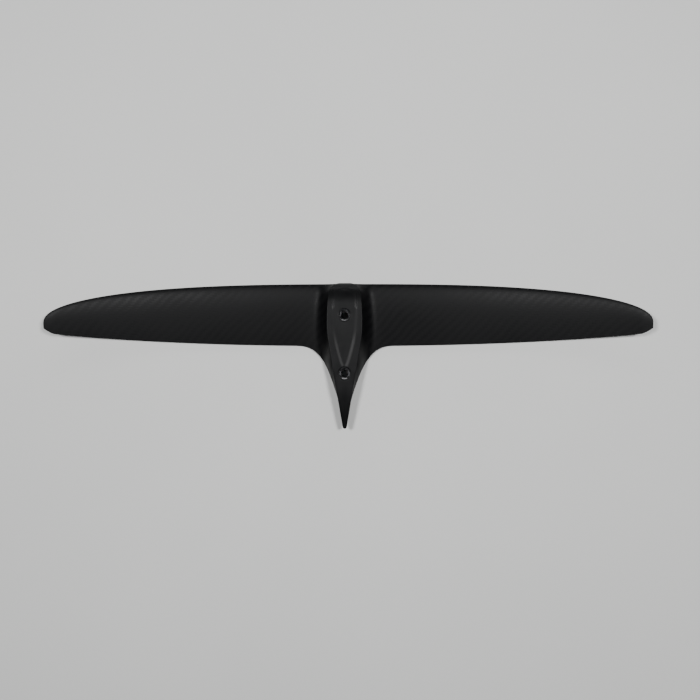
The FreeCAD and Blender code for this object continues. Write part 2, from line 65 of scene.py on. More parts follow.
SEMI_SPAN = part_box("starboard_screw_side_skin")[1][0]
TONGUE_LOW, TONGUE_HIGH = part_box("mount_tongue")
NOSE_LEAD = 0.0015                        # tongue's nose ahead of the leading edge
LEADING_Y = TONGUE_HIGH[1] - NOSE_LEAD    # leading edge at the root
BELLY = TONGUE_HIGH[2]                    # flat face of the tongue
ROOT_CHORD = 0.0904
TIP_SWEEP = 0.0570
TIP_TAPER = 0.0184
TIP_CORNER_RUN = 0.0160
TIP_CORNER_DROP = 0.0070
SWEEP_POWER, SWEEP_ROOT = 2.8, 0.46       # superellipse of the leading edge
TAPER_POWER, CORNER_POWER, FILLET_POWER = 2.33, 1.5, 3.15
THICKNESS_RATIO = 0.12
EDGE_THICKNESS = 0.0008
NOSE_HEIGHT = 0.0084
TAIL_HEIGHT = 0.0025
CAMBER = 0.0010
TIP_RISE, TIP_RISE_POWER = 0.0230, 5
CROWN_DEPTH = 0.0165
SKIN_WALL = 0.0011
WALL_SHARE, THICKEST_SHARE = 0.35, 0.3    # wall's share of the half thickness, and where
MOST_STRETCH = 3.0                        # of the wall on the steep flank
GLUE = 0.00012
FILLET_REACH = 0.0780
FILLET_ROOT = 0.0120
FILLET_DEPTH = 0.0704
SHOULDER_RUN = 0.0240
SHOULDER_POWER, POWER_FALL = 3.0, 1.8     # over the wing, and its fall beside the tail
FLANK_RUN = 0.0300
LEAST_ROOM, ROOM_BLEND = 0.0005, 4.0
SKIRT_START = 0.1080
SKIRT_RUN = 0.0320
SLOT_HALF = 0.0160
SEAT_Z = 0.0
ROOT_ZONE_END = 0.1000
ROW_EASE, SETTLE_STEPS = 1.35, 80
MERGE_DISTANCE, LEAST_EDGE = 2e-6, 1e-7

# outline of the tongue's flat face, seen from above
HALF_WIDTH = TONGUE_HIGH[0]
WIDEST = 0.0580
TAIL_END = LEADING_Y - TONGUE_LOW[1]
CORNER_R, FRONT_R, REAR_R, TAIL_R = 0.0180, 0.4350, 0.1600, 0.0030
CORNER_BACK = CORNER_R - NOSE_LEAD
TAIL_CENTRE = TAIL_END - TAIL_R
INNER_R = FRONT_R - CORNER_R
CORNER_X = math.sqrt(INNER_R ** 2 - (WIDEST - CORNER_BACK) ** 2) - (FRONT_R - HALF_WIDTH)
JOIN_BACK = WIDEST - (WIDEST - CORNER_BACK) * FRONT_R / INNER_R
ACROSS, ALONG = REAR_R - HALF_WIDTH, TAIL_CENTRE - WIDEST
TAPER = math.atan2(ALONG, ACROSS) - math.acos((REAR_R - TAIL_R) / math.hypot(ACROSS, ALONG))
TAPER_BACK = WIDEST + REAR_R * math.sin(TAPER)
TAPER_X = HALF_WIDTH - REAR_R * (1 - math.cos(TAPER))
TAIL_BACK = TAIL_CENTRE + TAIL_R * math.sin(TAPER)


def smooth(t):
    """0 to 1 with level ends: 3 t squared minus 2 t cubed."""
    t = np.clip(t, 0.0, 1.0)
    return t * t * (3 - 2 * t)


def root(value):
    return np.sqrt(np.maximum(value, 0.0))


def tongue_half_width(back):
    """Half width of the tongue at a distance behind the leading edge: a corner arc, a long
    arc to the widest place, a shorter arc, a straight taper and a round tail."""
    back = np.asarray(back, dtype=float)
    corner = CORNER_X + root(CORNER_R ** 2 - (back - CORNER_BACK) ** 2)
    front = HALF_WIDTH - FRONT_R + root(FRONT_R ** 2 - (back - WIDEST) ** 2)
    rear = HALF_WIDTH - REAR_R + root(REAR_R ** 2 - (back - WIDEST) ** 2)
    taper = TAPER_X - (back - TAPER_BACK) * math.tan(TAPER)
    tail = root(TAIL_R ** 2 - (back - TAIL_CENTRE) ** 2)
    width = np.where(back < JOIN_BACK, corner, front)
    width = np.where(back > WIDEST, rear, width)
    width = np.where(back > TAPER_BACK, taper, width)
    return np.where(back > TAIL_BACK, tail, width)


def leading_back(x):
    """Superelliptic leading edge: the sweep times one less a root of (one less a power of t),
    t being x over the half span."""
    t = np.clip(x / SEMI_SPAN, 0.0, 1.0)
    return TIP_SWEEP * (1 - (1 - t ** SWEEP_POWER) ** SWEEP_ROOT)


def plain_rear_back(x):
    """Trailing edge with its taper and its rounded tip corner, each a power of the share of
    the way along it."""
    t = np.clip(x / SEMI_SPAN, 0.0, 1.0)
    corner = np.maximum(0.0, (x - (SEMI_SPAN - TIP_CORNER_RUN)) / TIP_CORNER_RUN)
    return ROOT_CHORD - TIP_TAPER * t ** TAPER_POWER - TIP_CORNER_DROP * corner ** CORNER_POWER


def rear_back(x):
    """Trailing edge with the fillet that carries it on into the tail."""
    fillet = np.maximum(0.0, (FILLET_REACH - x) / (FILLET_REACH - FILLET_ROOT))
    return plain_rear_back(x) + FILLET_DEPTH * fillet ** FILLET_POWER


def chord_scale(x):
    """Chord without the fillet, as a share of the root chord."""
    return (plain_rear_back(x) - leading_back(x)) / ROOT_CHORD


def back_at(x, share):
    """Distance behind the root's leading edge of a share of the local chord."""
    return leading_back(x) + share * (rear_back(x) - leading_back(x))


def half_thickness(x, share):
    """Four-digit wing section, scaled with the chord and opened to the edge thickness."""
    s = np.clip(share, 0.0, 1.0)
    shape = 0.2969 * np.sqrt(s) - 0.1260 * s - 0.3516 * s ** 2 + 0.2843 * s ** 3 - 0.1036 * s ** 4
    return chord_scale(x) * (5 * THICKNESS_RATIO * ROOT_CHORD * shape + EDGE_THICKNESS * s / 2)


def mean_z(x, share):
    """Mean line from nose to tail height less its bow, above a crown that rises to the tip."""
    full = CROWN_DEPTH - TAIL_HEIGHT + EDGE_THICKNESS / 2
    tail = TAIL_HEIGHT + full * smooth((rear_back(x) - SKIRT_START) / SKIRT_RUN)
    line = tail + (NOSE_HEIGHT - tail) * (1 - share) - 4 * CAMBER * share * (1 - share)
    crown = TIP_RISE * (x / SEMI_SPAN) ** TIP_RISE_POWER - CROWN_DEPTH
    return crown + chord_scale(x) * line


NOSE_RUN, TAIL_RUN, TAIL_THICKNESS, TAIL_SINK_POWER = 0.0320, 0.0710, 0.0045, 1.6
NOSE_Z = NOSE_HEIGHT - CROWN_DEPTH


def belly_z(back):
    """Tongue's face: a quarter ellipse up from the nose, flat, then thinning to the tail."""
    rise = np.clip((NOSE_RUN - back) / (NOSE_RUN + NOSE_LEAD), 0.0, 1.0)
    sink = np.clip((back - (TAIL_END - TAIL_RUN)) / TAIL_RUN, 0.0, 1.0)
    front = NOSE_Z + (BELLY - NOSE_Z) * root(1 - rise ** 2)
    return front - (BELLY - TAIL_THICKNESS) * sink ** TAIL_SINK_POWER


def shoulder(x, back):
    """Share of the way up from wing to tongue, and its slope: (1 - t) to a power that falls
    beside the tail, t being the distance from the tongue over the run. The run is short
    where the fillet leaves little room."""
    behind = back - ROOT_CHORD
    depth = np.maximum(0.0, behind) / FILLET_DEPTH
    fillet_x = FILLET_REACH - (FILLET_REACH - FILLET_ROOT) * depth ** (1 / FILLET_POWER)
    room = np.maximum(LEAST_ROOM, fillet_x - tongue_half_width(back))
    short = (SHOULDER_RUN ** -ROOM_BLEND + room ** -ROOM_BLEND) ** (-1 / ROOM_BLEND)
    run = np.where(behind > 0, short, SHOULDER_RUN)
    power = SHOULDER_POWER - POWER_FALL * smooth(behind / FLANK_RUN)
    t = np.clip((x - tongue_half_width(back)) / run, 0.0, 1.0)
    return (1 - t) ** power, power * (1 - t) ** (power - 1) / run


def screw_side_z(x, share, wall=0.0):
    """Wing's upper face plus the shoulder's share of the climb to the tongue, less a wall
    measured square to the face."""
    back = back_at(x, share)
    wing = mean_z(x, share) + half_thickness(x, share)
    climb, slope = shoulder(x, back)
    drop = np.maximum(0.0, belly_z(back) - wing)
    steep = np.minimum(MOST_STRETCH, np.sqrt(1 + (drop * slope) ** 2))
    return wing + drop * climb - wall * steep


def spread(count):
    """Shares from 0 to 1 along half a cosine, closer together at both ends."""
    return (1 - np.cos(np.linspace(0.0, math.pi, count))) / 2


def skin_stations(inner_half=0.0, root_rows=44, span_rows=110, chord_points=81):
    """Grid of span positions and chord shares. Root rows run from a glue line beside the
    tongue, found by repeated half steps, out to the plain wing. Span rows run on to the tip
    with x as the sine of an even angle."""
    share = spread(chord_points)[None, :]
    start = np.full_like(share, HALF_WIDTH)
    for _ in range(SETTLE_STEPS):
        back = back_at(start, share)
        slot_side = np.where(back > WIDEST, inner_half, 0.0)
        start += 0.5 * (np.maximum(tongue_half_width(back), slot_side) + GLUE - start)
    step = (np.linspace(0.0, 1.0, root_rows, endpoint=False) ** ROW_EASE)[:, None]
    near = start + (ROOT_ZONE_END - start) * step
    first = math.asin(ROOT_ZONE_END / SEMI_SPAN)
    far = SEMI_SPAN * np.sin(np.linspace(first, math.pi / 2, span_rows))[:, None]
    x = np.vstack([near, np.repeat(far, chord_points, axis=1)])
    return x, np.repeat(share, x.shape[0], axis=0)


def grid_quads(rows, columns):
    """Four corners of every cell of a grid, as vertex numbers."""
    corner = (np.arange(rows - 1)[:, None] * columns + np.arange(columns - 1)[None, :]).ravel()
    return np.stack([corner, corner + columns, corner + columns + 1, corner + 1], axis=1)


def shell_quads(rows, columns):
    """Cells of an outer grid, the same cells of an inner grid turned round, and a strip
    along each of the four edges, so that the two grids close into one shell."""
    outer = grid_quads(rows, columns)
    inner = outer[:, ::-1] + rows * columns
    number = np.arange(rows * columns).reshape(rows, columns)
    rim = np.concatenate([number[0, :], number[1:, -1], number[-1, -2::-1], number[-2::-1, 0]])
    a, b = rim[:-1], rim[1:]
    strip = np.stack([a, b, b + rows * columns, a + rows * columns], axis=1)
    return np.vstack([outer, inner, strip])


def new_piece(name, points, quads, crease_degrees=35.0):
    """Mesh object at the origin, with doubled points merged, normals outwards, smooth faces
    and sharp edges where the faces turn by more than the crease angle."""
    mesh = bpy.data.meshes.new(name)
    mesh.from_pydata(points.reshape(-1, 3).tolist(), [], quads.tolist())
    work = bmesh.new()
    work.from_mesh(mesh)
    bmesh.ops.remove_doubles(work, verts=work.verts, dist=MERGE_DISTANCE)
    bmesh.ops.dissolve_degenerate(work, edges=work.edges, dist=LEAST_EDGE)
    open_edges = [edge for edge in work.edges if edge.is_boundary]
    if open_edges:
        bmesh.ops.holes_fill(work, edges=open_edges)
    bmesh.ops.recalc_face_normals(work, faces=work.faces)
    work.to_mesh(mesh)
    work.free()
    mesh.shade_smooth()
    mesh.set_sharp_from_angle(angle=math.radians(crease_degrees))
    piece = bpy.data.objects.new(name, mesh)
    bpy.context.scene.collection.objects.link(piece)
    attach(piece, "root")
    return piece


def place(x, back, z, hand):
    """Points in the frame from span, distance behind the leading edge and height."""
    x, back, z = np.broadcast_arrays(x, back, z)
    return np.stack([hand * x, LEADING_Y - back, z], axis=-1)


def node_maker(material):
    """Short ways to add shader nodes and link them."""
    tree = material.node_tree

    def add(kind, **settings):
        node = tree.nodes.new(kind)
        for key, value in settings.items():
            setattr(node, key, value)
        return node

    def link(source, target):
        tree.links.new(source, target)

    def maths(operation, first, second=None):
        node = add("ShaderNodeMath", operation=operation)
        for number, value in enumerate((first, second)):
            if value is None:
                continue
            if isinstance(value, (int, float)):
                node.inputs[number].default_value = value
            else:
                link(value, node.inputs[number])
        return node.outputs[0]

    return add, link, maths


TOW = 0.0035
SWAY = 0.012                              # how far the tows wander
FINE, LONG = 2600.0, 90.0                 # fibres across and along a tow, per metre
WEAVE_HEIGHT, PEEL_HEIGHT = 0.00012, 0.0002
SKIN_DARK, SKIN_LIGHT = (0.0012, 0.0013, 0.0017), (0.0052, 0.0052, 0.0055)
SKIN_ROUGHNESS, SKIN_GLOSS = 0.46, 0.088


def carbon_twill(name, tow, dark, light, roughness, gloss):
    """Two-by-two carbon twill under a satin coat. A tow across is up where its number less
    that of the tow along, modulo four, is under two, so the floats step along a diagonal.
    Each tow is a low arch with fine lengthwise fibres, and the two directions differ a
    little in gloss; the floats across are also painted lighter, a painted sheen that
    stands in for the fibres' reflection."""
    material = bpy.data.materials.new(name)
    material.use_nodes = True
    add, link, maths = node_maker(material)
    shader = material.node_tree.nodes["Principled BSDF"]
    place_in = add("ShaderNodeTexCoord").outputs["Object"]
    wander = add("ShaderNodeTexNoise")
    wander.inputs["Scale"].default_value = 14.0
    wander.inputs["Detail"].default_value = 2.0
    link(place_in, wander.inputs["Vector"])
    axes = add("ShaderNodeSeparateXYZ")
    link(place_in, axes.inputs[0])
    sway = maths("MULTIPLY", maths("SUBTRACT", wander.outputs["Fac"], 0.5), SWAY)
    across = maths("DIVIDE", maths("ADD", axes.outputs["X"], sway), tow)
    along = maths("DIVIDE", maths("SUBTRACT", axes.outputs["Y"], sway), tow)
    number = maths("SUBTRACT", maths("FLOOR", across), maths("FLOOR", along))
    up = maths("LESS_THAN", maths("FLOORED_MODULO", number, 4.0), 1.5)

    def arch(distance):
        centred = maths("SUBTRACT", maths("FRACT", distance), 0.5)
        return maths("SUBTRACT", 1.0, maths("MULTIPLY", maths("MULTIPLY", centred, centred), 3.4))

    def fibres(stretch):
        squeeze = add("ShaderNodeMapping")
        squeeze.inputs["Scale"].default_value = stretch
        link(place_in, squeeze.inputs["Vector"])
        noise = add("ShaderNodeTexNoise")
        noise.inputs["Scale"].default_value = 1.0
        noise.inputs["Detail"].default_value = 3.0
        link(squeeze.outputs[0], noise.inputs["Vector"])
        return noise.outputs["Fac"]

    def choose(first, second):
        pick = add("ShaderNodeMix", data_type="FLOAT")
        link(up, pick.inputs["Factor"])
        for socket, value in (("A", first), ("B", second)):
            if isinstance(value, (int, float)):
                pick.inputs[socket].default_value = value
            else:
                link(value, pick.inputs[socket])
        return pick.outputs[0]

    fibre = choose(fibres((LONG, FINE, LONG)), fibres((FINE, LONG, LONG)))
    crown = choose(arch(along), arch(across))
    patch = add("ShaderNodeTexNoise")
    patch.inputs["Scale"].default_value = 9.0
    patch.inputs["Detail"].default_value = 4.0
    link(place_in, patch.inputs["Vector"])

    # The floats across are painted lighter than those along: a painted sheen for the fibres'
    # reflection. Fibre and patch noise add the cloth's own tone.
    grey = choose(0.36, 0.64)
    grey = maths("ADD", grey, maths("MULTIPLY", maths("SUBTRACT", fibre, 0.5), 0.7))
    grey = maths("ADD", grey, maths("MULTIPLY", maths("SUBTRACT", patch.outputs["Fac"], 0.5), 0.8))
    colour = add("ShaderNodeMix", data_type="RGBA")
    colour.inputs["A"].default_value = (*dark, 1)
    colour.inputs["B"].default_value = (*light, 1)
    link(grey, colour.inputs["Factor"])
    link(colour.outputs["Result"], shader.inputs["Base Color"])

    rough = maths("ADD", choose(roughness - 0.02, roughness + 0.02),
                  maths("MULTIPLY", maths("SUBTRACT", patch.outputs["Fac"], 0.5), 0.16))
    link(rough, shader.inputs["Roughness"])
    shader.inputs["Specular IOR Level"].default_value = gloss

    weave = add("ShaderNodeBump")
    weave.inputs["Strength"].default_value = 0.22
    weave.inputs["Distance"].default_value = WEAVE_HEIGHT
    link(maths("ADD", crown, maths("MULTIPLY", fibre, 0.25)), weave.inputs["Height"])
    orange = add("ShaderNodeTexNoise")
    orange.inputs["Scale"].default_value = 260.0
    orange.inputs["Detail"].default_value = 2.0
    link(place_in, orange.inputs["Vector"])
    peel = add("ShaderNodeBump")
    peel.inputs["Strength"].default_value = 0.12
    peel.inputs["Distance"].default_value = PEEL_HEIGHT
    link(orange.outputs["Fac"], peel.inputs["Height"])
    link(weave.outputs[0], peel.inputs["Normal"])
    link(peel.outputs[0], shader.inputs["Normal"])
    return material


skin_finish = carbon_twill("carbon_twill", TOW, SKIN_DARK, SKIN_LIGHT,
                           SKIN_ROUGHNESS, SKIN_GLOSS)


def thinned(wall, x):
    """Wall, held under a share of the section's half thickness, so that it thins at the tip."""
    return np.minimum(wall, WALL_SHARE * half_thickness(x, THICKEST_SHARE))


def screw_side_grid(wall):
    """Outer or inner face of the skin. Over the slot the inner face stops at the seat."""
    x, share = skin_stations()
    if not wall:
        return x, back_at(x, share), screw_side_z(x, share)
    z = np.maximum(screw_side_z(x, share, thinned(wall, x)), mean_z(x, share))
    z = np.where(x < SLOT_HALF, np.maximum(z, SEAT_Z), z)
    return x, back_at(x, share), np.minimum(z, screw_side_z(x, share))


for hand, side in ((1, "starboard"), (-1, "port")):
    outer = place(*screw_side_grid(0.0), hand)
    inner = place(*screw_side_grid(SKIN_WALL), hand)
    rows, columns = outer.shape[:2]
    name = side + "_screw_side_skin"
    skin = new_piece("screw_skin_" + side, np.stack([outer, inner]), shell_quads(rows, columns))
    skin.data.materials.append(skin_finish)
    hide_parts(name)

# ---------------------------------------------------------------------------
# Fuselage-side skins, port and starboard. The same twill skin on the face that
# lies on the floor, from the cheek of the slot out to the tip, glued to its
# partner along the mean line of the section.


def fuselage_side_grid(wall):
    """Mean line less half the section's thickness, plus the wall for the inner face."""
    x, share = skin_stations(inner_half=SLOT_HALF)
    z = mean_z(x, share) - half_thickness(x, share) + thinned(wall, x)
    return x, back_at(x, share), np.minimum(z, mean_z(x, share))


for hand, side in ((1, "starboard"), (-1, "port")):
    outer = place(*fuselage_side_grid(0.0), hand)
    inner = place(*fuselage_side_grid(SKIN_WALL), hand)
    rows, columns = outer.shape[:2]
    name = side + "_fuselage_side_skin"
    skin = new_piece("fuselage_skin_" + side, np.stack([outer, inner]), shell_quads(rows, columns))
    skin.data.materials.append(skin_finish)
    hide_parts(name)

# ---------------------------------------------------------------------------
# Mounting tongue. A solid block of carbon laminate, machined to a teardrop with
# a crisp edge, a shallow dish between its two screw seats, a slot for the
# fuselage underneath and a thin pointed tail.

FRONT_BUSH, REAR_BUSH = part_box("front_screw_bush"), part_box("rear_screw_bush")
BUSH_RIM_BACK = (LEADING_Y - FRONT_BUSH[1][1], LEADING_Y - REAR_BUSH[1][1])
BUSH_RADIUS = (FRONT_BUSH[1][0] - FRONT_BUSH[0][0]) / 2
BUSH_TOP = FRONT_BUSH[1][2]
BUSH_SLEEVE = 0.0064
SEAT_RADIUS = BUSH_RADIUS + GLUE
SLEEVE_RADIUS = BUSH_SLEEVE + GLUE
SLOT_FRONT, SLOT_CORNER = 0.0140, 0.0100
SEAT_DEPTH = BELLY - BUSH_TOP
DISH_FRONT, DISH_WIDEST, DISH_REAR, DISH_HALF = 0.0070, 0.0420, 0.1270, 0.0172
DISH_FRONT_POWER, DISH_REAR_POWER = 4, 1.9
DISH_STEP, DISH_FADE = 0.0068, 0.004
DISH_DEPTH = 0.00062
DISH_SHALLOW, DISH_MORE = 0.45, 0.55      # share of the depth in front, and what is added
DEEPENS_AT, DEEPENS_RUN = 0.060, 0.030
GROOVE_X, GROOVE_HALF, GROOVE_DEPTH = 0.0163, 0.0016, 0.0006
GROOVE_START, GROOVE_START_RUN = 0.008, 0.008
GROOVE_END, GROOVE_END_RUN = 0.040, 0.010
RIDGE_START, RIDGE_RUN, RIDGE_HEIGHT = 0.126, 0.022, 0.0013
RIDGE_LEAST_HALF = 0.002
SEAT_ROUND = 0.0014
EDGE_ROUND, EDGE_FADE, EDGE_SHARE = 0.0006, 0.004, 0.5
NOSE_ROWS, FRONT_ROWS, SEAT_ROWS, MIDDLE_ROWS, TAPER_ROWS, TAIL_ROWS = 34, 34, 33, 70, 60, 12
FACE_COLUMNS, EDGE_COLUMNS, FLANK_COLUMNS, CHEEK_COLUMNS, ROOF_COLUMNS = 46, 6, 7, 6, 9
FACE_EASE = 0.9


def dish_half_width(back):
    """Inner teardrop of the dish: a squarish front end, then a long taper to a point."""
    ahead = np.clip((DISH_WIDEST - back) / (DISH_WIDEST - DISH_FRONT), 0.0, 1.0)
    behind = np.clip((back - DISH_WIDEST) / (DISH_REAR - DISH_WIDEST), 0.0, 1.0)
    return DISH_HALF * root(1 - ahead ** DISH_FRONT_POWER) * (1 - behind ** DISH_REAR_POWER)


def face_z(x, back):
    """Tongue's face less a soft-walled dish or a rounded drop to each screw seat, whichever
    is deeper, less two grooves, and less a bow across the tail that leaves a low ridge."""
    width = dish_half_width(back)
    inside = smooth((width - np.abs(x)) / DISH_STEP + 0.5) * smooth(width / DISH_FADE)
    deepening = DISH_SHALLOW + DISH_MORE * smooth((back - DEEPENS_AT) / DEEPENS_RUN)
    along = smooth((back - GROOVE_START) / GROOVE_START_RUN)
    along = along * smooth((GROOVE_END - back) / GROOVE_END_RUN)
    groove = GROOVE_DEPTH * along * (1 - smooth(np.abs(np.abs(x) - GROOVE_X) / GROOVE_HALF))
    seats = 0.0
    for rim_back in BUSH_RIM_BACK:
        away = np.hypot(x, back - (rim_back + SEAT_RADIUS)) - SEAT_RADIUS
        seats = np.maximum(seats, smooth(1.0 - away / SEAT_ROUND))
    tail = smooth((back - RIDGE_START) / RIDGE_RUN)
    half = np.maximum(tongue_half_width(back), RIDGE_LEAST_HALF)
    crown = RIDGE_HEIGHT * tail * (x / half) ** 2
    sunk = np.maximum(DISH_DEPTH * inside * deepening, SEAT_DEPTH * seats)
    return belly_z(back) - sunk - crown - groove


def tongue_rows():
    """Distances behind the leading edge, with the share of the way across each seat."""
    rows, turn, centre = [], [], []

    def run(start, end, count, ease=False):
        part = spread(count) if ease else np.linspace(0.0, 1.0, count)
        rows.extend(start + (end - start) * part)
        turn.extend([np.nan] * count)
        centre.extend([0.0] * count)

    def seat(middle):
        angle = np.linspace(math.pi, 0.0, SEAT_ROWS)
        rows.extend(middle + SEAT_RADIUS * np.cos(angle))
        turn.extend(np.cos(angle))
        centre.extend([middle] * SEAT_ROWS)

    first, second = (back + SEAT_RADIUS - GLUE for back in BUSH_RIM_BACK)
    run(-NOSE_LEAD, SLOT_FRONT, NOSE_ROWS, ease=True)
    run(SLOT_FRONT, first - SEAT_RADIUS, FRONT_ROWS)
    seat(first)
    run(first + SEAT_RADIUS, second - SEAT_RADIUS, MIDDLE_ROWS)
    seat(second)
    run(second + SEAT_RADIUS, TAIL_BACK, TAPER_ROWS)
    run(TAIL_BACK, TAIL_END, TAIL_ROWS, ease=True)
    return np.array(rows), np.array(turn), np.array(centre)


def fuselage_side_at(back):
    """Level of the fuselage side beside the slot, as far as the tongue reaches it."""
    x = (SLOT_HALF + HALF_WIDTH) / 2
    lead = (back + NOSE_LEAD) / (rear_back(x) + NOSE_LEAD)
    share = np.clip(lead, 0.0, 1.0)
    return mean_z(x, share) - half_thickness(x, share)


def tongue_half(hand):
    """One half of the tongue as loops across it, one per row: over the face from the centre
    or the seat's rim, round the edge, down the flank, in under the cheek, up the slot's
    side, across the seat, and up the seat's bore to the start."""
    back, turn, centre = tongue_rows()
    in_seat = ~np.isnan(turn)
    cosine = np.where(in_seat, turn, 1.0)
    sine = np.where(in_seat, root(1 - cosine ** 2), 0.0)
    number = np.arange(len(back))
    width = tongue_half_width(back)
    cheek = (width > SLOT_HALF) | (back < WIDEST)
    into_corner = np.maximum(0.0, SLOT_FRONT + SLOT_CORNER - back)
    slot_side = SLOT_HALF - SLOT_CORNER + root(SLOT_CORNER ** 2 - into_corner ** 2)
    slot_open = (back > SLOT_FRONT) | ((back == SLOT_FRONT) & (number >= NOSE_ROWS))
    slot = np.where(slot_open, np.minimum(slot_side, width), 0.0)
    under = np.where(cheek, np.minimum(fuselage_side_at(back), belly_z(back)), 0.0)
    roof = np.where(slot_open, 0.0, under)
    edge = EDGE_ROUND * np.minimum(1.0, (belly_z(back) - under) / EDGE_FADE)
    edge = np.minimum(edge, EDGE_SHARE * width)

    columns = []

    def column(x, at, z):
        columns.append(np.stack([hand * x, LEADING_Y - at, z], axis=-1))

    rim = SEAT_RADIUS * sine
    for t in np.linspace(0.0, 1.0, FACE_COLUMNS) ** FACE_EASE:
        x = rim + (width - edge - rim) * t
        column(x, back, face_z(x, back))
    top = face_z(width - edge, back)
    for angle in np.linspace(0.0, math.pi / 2, EDGE_COLUMNS)[1:]:
        column(width - edge + edge * math.sin(angle), back, top - edge * (1 - math.cos(angle)))
    for t in np.linspace(0.0, 1.0, FLANK_COLUMNS)[1:]:
        column(width, back, (top - edge) * (1 - t) + np.minimum(under, top - edge) * t)
    for t in np.linspace(0.0, 1.0, CHEEK_COLUMNS)[1:]:
        column(width + (slot - width) * t, back, under)
    column(slot, back, roof)
    sleeve = np.where(in_seat, SLEEVE_RADIUS * sine, 0.0)
    sleeve_back = np.where(in_seat, centre + SLEEVE_RADIUS * cosine, back)
    for t in np.linspace(0.0, 1.0, ROOF_COLUMNS)[1:]:
        column(slot + (sleeve - slot) * t, back + (sleeve_back - back) * t, roof)
    outside = len(columns)
    cone = SEAT_RADIUS - SLEEVE_RADIUS
    column(sleeve, sleeve_back, np.where(in_seat, BUSH_TOP - cone, roof))
    column(np.where(in_seat, rim, 0.0), back, np.where(in_seat, BUSH_TOP, roof))
    columns.append(columns[0])
    points = np.stack(columns, axis=1)

    quads = grid_quads(*points.shape[:2])
    column_of = quads[:, 0] % points.shape[1]
    row_of = quads[:, 0] // points.shape[1]
    same_seat = in_seat[row_of] & in_seat[row_of + 1] & (centre[row_of] == centre[row_of + 1])
    return points, quads[(column_of < outside - 1) | same_seat]


halves = [tongue_half(1), tongue_half(-1)]
count = halves[0][0].shape[0] * halves[0][0].shape[1]
tongue_points = np.vstack([points.reshape(-1, 3) for points, _ in halves])
tongue_quads = np.vstack([halves[0][1], halves[1][1][:, ::-1] + count])
tongue = new_piece("tongue", tongue_points, tongue_quads, crease_degrees=38.0)


LAMINATE_DARK, LAMINATE_LIGHT = (0.0010, 0.0011, 0.0014), (0.0048, 0.0049, 0.0053)
LAMINATE_ROUGHNESS, LAMINATE_GLOSS = 0.30, 0.115
SCRATCH_HEIGHT = 0.00006


def pressed_laminate(name):
    """Sanded laminate: near black, with fine lengthwise scratches and cloudy rubbed patches
    that are a little greyer and rougher."""
    material = bpy.data.materials.new(name)
    material.use_nodes = True
    add, link, maths = node_maker(material)
    shader = material.node_tree.nodes["Principled BSDF"]
    place_in = add("ShaderNodeTexCoord").outputs["Object"]

    def noise(scale, detail, stretch=None):
        node = add("ShaderNodeTexNoise")
        node.inputs["Scale"].default_value = scale
        node.inputs["Detail"].default_value = detail
        if stretch:
            squeeze = add("ShaderNodeMapping")
            squeeze.inputs["Scale"].default_value = stretch
            link(place_in, squeeze.inputs["Vector"])
            link(squeeze.outputs[0], node.inputs["Vector"])
        else:
            link(place_in, node.inputs["Vector"])
        return node.outputs["Fac"]

    cloud = noise(55.0, 5.0)
    scratch = noise(1.0, 2.0, (1900.0, 55.0, 300.0))
    fine = noise(900.0, 2.0)
    mix = maths("ADD", maths("MULTIPLY", cloud, 0.75), maths("MULTIPLY", scratch, 0.35))
    colour = add("ShaderNodeMix", data_type="RGBA")
    colour.inputs["A"].default_value = (*LAMINATE_DARK, 1)
    colour.inputs["B"].default_value = (*LAMINATE_LIGHT, 1)
    link(mix, colour.inputs["Factor"])
    link(colour.outputs["Result"], shader.inputs["Base Color"])
    rough = maths("ADD", LAMINATE_ROUGHNESS, maths("MULTIPLY", cloud, 0.16))
    link(rough, shader.inputs["Roughness"])
    shader.inputs["Specular IOR Level"].default_value = LAMINATE_GLOSS
    bump = add("ShaderNodeBump")
    bump.inputs["Strength"].default_value = 0.25
    bump.inputs["Distance"].default_value = SCRATCH_HEIGHT
    link(maths("ADD", scratch, maths("MULTIPLY", fine, 0.5)), bump.inputs["Height"])
    link(bump.outputs[0], shader.inputs["Normal"])
    return material


tongue_finish = pressed_laminate("sanded_laminate")
tongue.data.materials.append(tongue_finish)
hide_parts("mount_tongue")

# ---------------------------------------------------------------------------
# Screw bushes. Turned aluminium, anodised dark grey, with a ninety-degree
# countersink for the screw's head, glued into the tongue from the screw side.

MOUTH_RADIUS, BORE_RADIUS = 0.0080, 0.0042
CORNER_FLAT = 0.00012
ANODISED_DARK, ANODISED_LIGHT = (0.10, 0.10, 0.104), (0.18, 0.18, 0.184)
TOOL_RINGS, RING_HEIGHT = 42000.0, 0.00002


def bush_profile():
    """Radius and height round the turned section: rim, outer cone, sleeve, foot, bore and
    countersink, each corner broken by a small flat."""
    rim_drop = BUSH_TOP - (BUSH_RADIUS - BUSH_SLEEVE)
    sink_drop = BUSH_TOP - (MOUTH_RADIUS - BORE_RADIUS)
    e = CORNER_FLAT
    return np.array([
        (MOUTH_RADIUS + e, BUSH_TOP), (BUSH_RADIUS - e, BUSH_TOP), (BUSH_RADIUS, BUSH_TOP - e),
        (BUSH_SLEEVE, rim_drop), (BUSH_SLEEVE, e), (BUSH_SLEEVE - e, 0.0),
        (BORE_RADIUS + e, 0.0), (BORE_RADIUS, e), (BORE_RADIUS, sink_drop - e),
        (BORE_RADIUS + e, sink_drop + e), (MOUTH_RADIUS - e, BUSH_TOP - 1.5 * e)])


def turned(profile, centre_y, segments=96):
    """Profile carried round an upright axis: radius times cosine and sine of the angle."""
    angle = np.linspace(0.0, 2 * math.pi, segments, endpoint=False)[:, None]
    x = profile[None, :, 0] * np.cos(angle)
    y = profile[None, :, 0] * np.sin(angle) + centre_y
    z = np.broadcast_to(profile[None, :, 1], x.shape)
    points = np.stack([x, y, z], axis=-1)
    row = np.arange(segments)[:, None] * profile.shape[0]
    next_row = np.roll(row, -1, axis=0)
    column = np.arange(profile.shape[0])[None, :]
    next_column = np.roll(column, -1, axis=1)
    corners = [row + column, next_row + column, next_row + next_column, row + next_column]
    return points, np.stack([corner.ravel() for corner in corners], axis=1)


